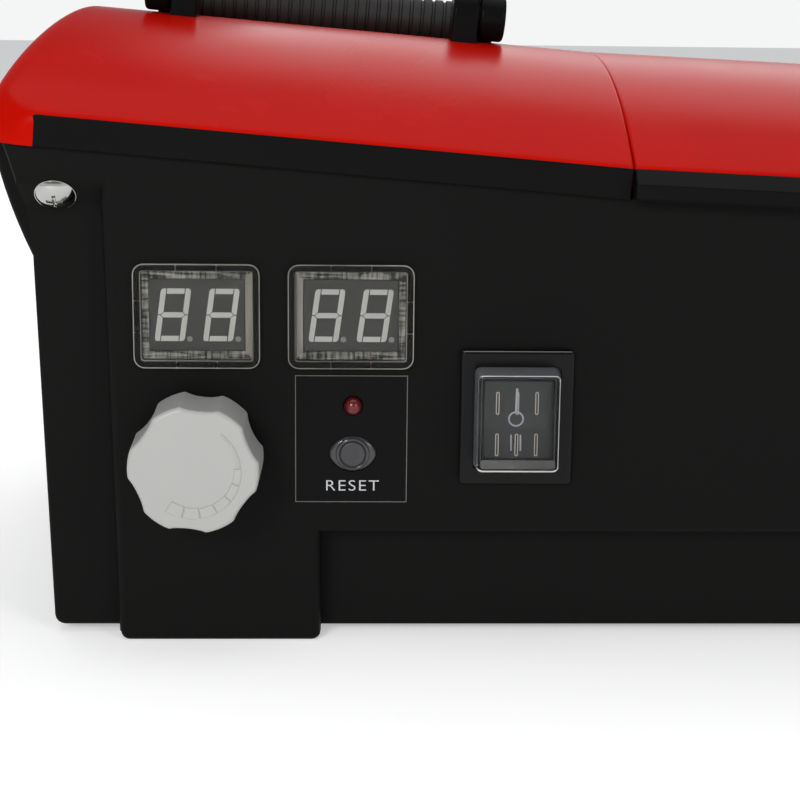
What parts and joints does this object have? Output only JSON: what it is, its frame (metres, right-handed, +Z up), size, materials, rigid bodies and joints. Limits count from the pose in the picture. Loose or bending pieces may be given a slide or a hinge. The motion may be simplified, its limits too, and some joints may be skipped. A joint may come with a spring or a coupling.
{
  "type": "car battery charger",
  "caption": "Bench car battery charger with a black tub, red arched hood, hinged lead-bin lid, meters, knob, reset button, rocker switch and folding handle.",
  "frame": {"origin": "on the ground, below the middle of the body's bounding box", "axes": "+X to the right along the panel, -Y out of the control panel, +Z up"},
  "size_m": [0.3383, 0.2364, 0.1817],
  "materials": {
    "black_housing": "satin textured moulding",
    "red_cover": "glossy red moulding",
    "black_trim": "satin moulding",
    "soft_grip": "soft matt sleeve",
    "chrome": "polished plating",
    "pin_steel": "zinc plated",
    "clear_window": "clear polycarbonate",
    "meter_housing": "dark grey filled plastic",
    "circuit_board": "green solder mask",
    "knob_grey": "light grey satin moulding",
    "potentiometer": "stamped can",
    "label": "glossy printed film",
    "collar_grey": "grey moulding",
    "button_grey": "dark grey moulding",
    "black_component": "black component plastic",
    "red_lamp": "diffused red resin",
    "switch_black": "satin black nylon",
    "rocker_dark": "dark grey nylon",
    "clear_boot": "clear soft cover",
    "brass_blades": "plain brass",
    "core_iron": "laminated silicon steel",
    "copper_winding": "enamelled copper wire",
    "sink_aluminium": "extruded aluminium",
    "green_block": "green moulding",
    "fuse_plastic": "tinted plastic",
    "fan_black": "black moulding",
    "gland_black": "black nylon",
    "lead_insulation": "wire insulation"
  },
  "bodies": {
    "housing": {"lower_housing": "black_housing", "bin_frame": "black_housing", "hood": "red_cover", "hood_trim": "black_trim", "handle_brackets": "black_trim", "corner_screws": "chrome", "hinge_pin": "pin_steel", "handle_pins": "pin_steel", "meter_board_screws": "pin_steel", "board_screws": "pin_steel", "fan_screws": "pin_steel", "transformer_bolts": "pin_steel", "transformer_brackets": "pin_steel", "potentiometer_nut": "pin_steel", "meter_window_left": "clear_window", "meter_window_right": "clear_window", "meter_module_left": "meter_housing", "meter_module_right": "meter_housing", "meter_board": "circuit_board", "control_board": "circuit_board", "potentiometer_body": "potentiometer", "panel_label": "label", "reset_collar": "collar_grey", "breaker_body": "black_component", "bridge_rectifier": "black_component", "thyristor": "black_component", "relay": "black_component", "filter_capacitor": "black_component", "fuse_holder": "black_component", "transformer_bobbin": "black_component", "indicator_lamp": "red_lamp", "switch_bezel": "switch_black", "switch_boot": "clear_boot", "switch_terminals": "brass_blades", "transformer_core": "core_iron", "primary_winding": "copper_winding", "secondary_winding": "copper_winding", "heat_sink": "sink_aluminium", "terminal_block": "green_block", "blade_fuse": "fuse_plastic", "fan_frame": "fan_black", "fan_guard": "fan_black", "mains_gland": "gland_black", "mains_gland_nut": "gland_black", "lead_gland": "gland_black", "mains_leads": "lead_insulation", "output_leads": "lead_insulation"},
    "knob": {"current_knob": "knob_grey", "potentiometer_shaft": "pin_steel"},
    "reset": {"reset_button": "button_grey"},
    "rocker": {"switch_rocker": "rocker_dark"},
    "lid": {"lid": "red_cover", "lid_lip": "black_trim"},
    "handle": {"carry_handle": "black_trim", "handle_grip": "soft_grip"},
    "rotor": {"fan_rotor": "fan_black"}
  },
  "joints": [
    {"name": "knob_turn", "type": "hinge", "parent": "housing", "child": "knob", "pos_m": [-0.113, -0.10875, 0.0529], "axis": [0, 1, 0], "range_deg": [-145, 145]},
    {"name": "reset_travel", "type": "slide", "parent": "housing", "child": "reset", "axis": [0, -1, 0], "range_m": [0, 0.003]},
    {"name": "rocker_tilt", "type": "hinge", "parent": "housing", "child": "rocker", "pos_m": [-0.0285, -0.09775, 0.0632], "axis": [1, 0, 0], "range_deg": [-11, 11]},
    {"name": "lid_hinge", "type": "hinge", "parent": "housing", "child": "lid", "pos_m": [0.08145, 0.09225, 0.12965], "axis": [-0.999, 0, 0.0436], "range_deg": [0, 95]},
    {"name": "handle_fold", "type": "hinge", "parent": "housing", "child": "handle", "pos_m": [-0.08028, 0.00125, 0.16994], "axis": [0.9966, 0, -0.0819], "range_deg": [0, 95]},
    {"name": "fan_spin", "type": "hinge", "parent": "housing", "child": "rotor", "pos_m": [-0.082, 0.09825, 0.062], "axis": [0, 1, 0], "continuous": true}
  ]
}
